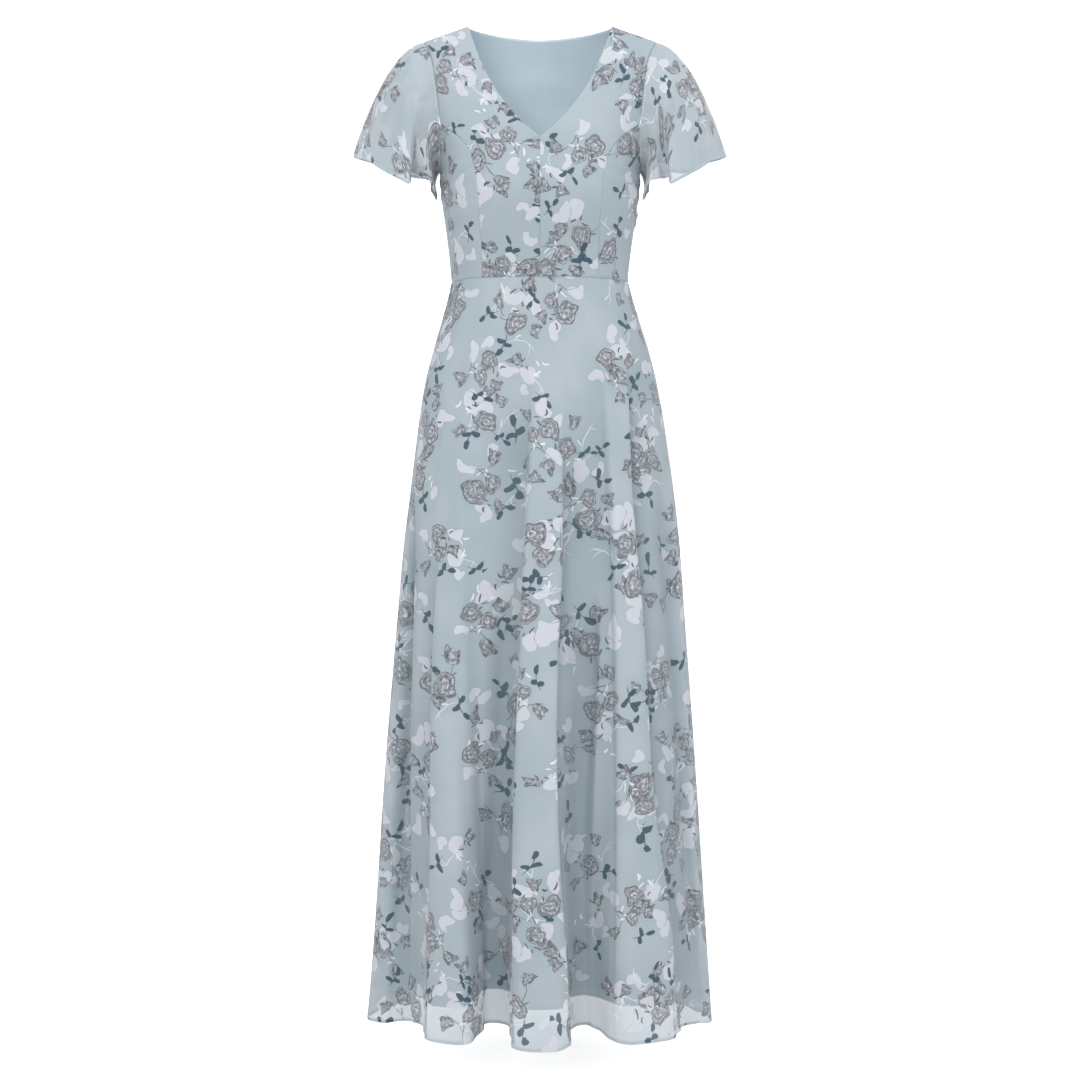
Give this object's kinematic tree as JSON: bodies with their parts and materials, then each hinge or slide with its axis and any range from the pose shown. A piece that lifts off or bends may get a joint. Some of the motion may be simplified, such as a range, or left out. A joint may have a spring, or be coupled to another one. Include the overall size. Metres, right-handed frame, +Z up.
{
  "type": "maxi dress",
  "caption": "V-neck maxi dress in floral chiffon with flutter sleeves, princess seams, a fluted skirt, a shorter lining and a concealed side zip.",
  "frame": {"origin": "midway between the high points of the two shoulders, where the wearer carries the dress", "axes": "front faces -Y, the wearer's left is +X, +Z up along the dress"},
  "size_m": [0.556, 0.3815, 1.5009],
  "materials": {
    "chiffon": "sheer matt polyester chiffon, printed with scattered flowers and leaves",
    "lining": "plain smooth polyester lining with a faint sheen",
    "zip_tape": "woven polyester tape dyed to the cloth",
    "zip_enamel": "satin enamel dyed to the cloth"
  },
  "bodies": {
    "dress": {"bodice_centre_front_left": "chiffon", "bodice_centre_front_right": "chiffon", "bodice_side_front_left": "chiffon", "bodice_side_front_right": "chiffon", "bodice_back": "chiffon", "bodice_lining_front": "lining", "bodice_lining_back": "lining", "skirt_front": "chiffon", "skirt_back": "chiffon", "skirt_lining_front": "lining", "skirt_lining_back": "lining", "sleeve_left": "chiffon", "sleeve_right": "chiffon", "side_zip_tape": "zip_tape", "zip_slider": "zip_enamel"},
    "pull": {"zip_pull": "zip_enamel"}
  },
  "joints": [
    {"name": "pull_hinge", "type": "hinge", "parent": "dress", "child": "pull", "pos_m": [0.14492, 0.01546, -0.27486], "axis": [0.1406, -0.9901, 0], "range_deg": [0, 165]}
  ]
}
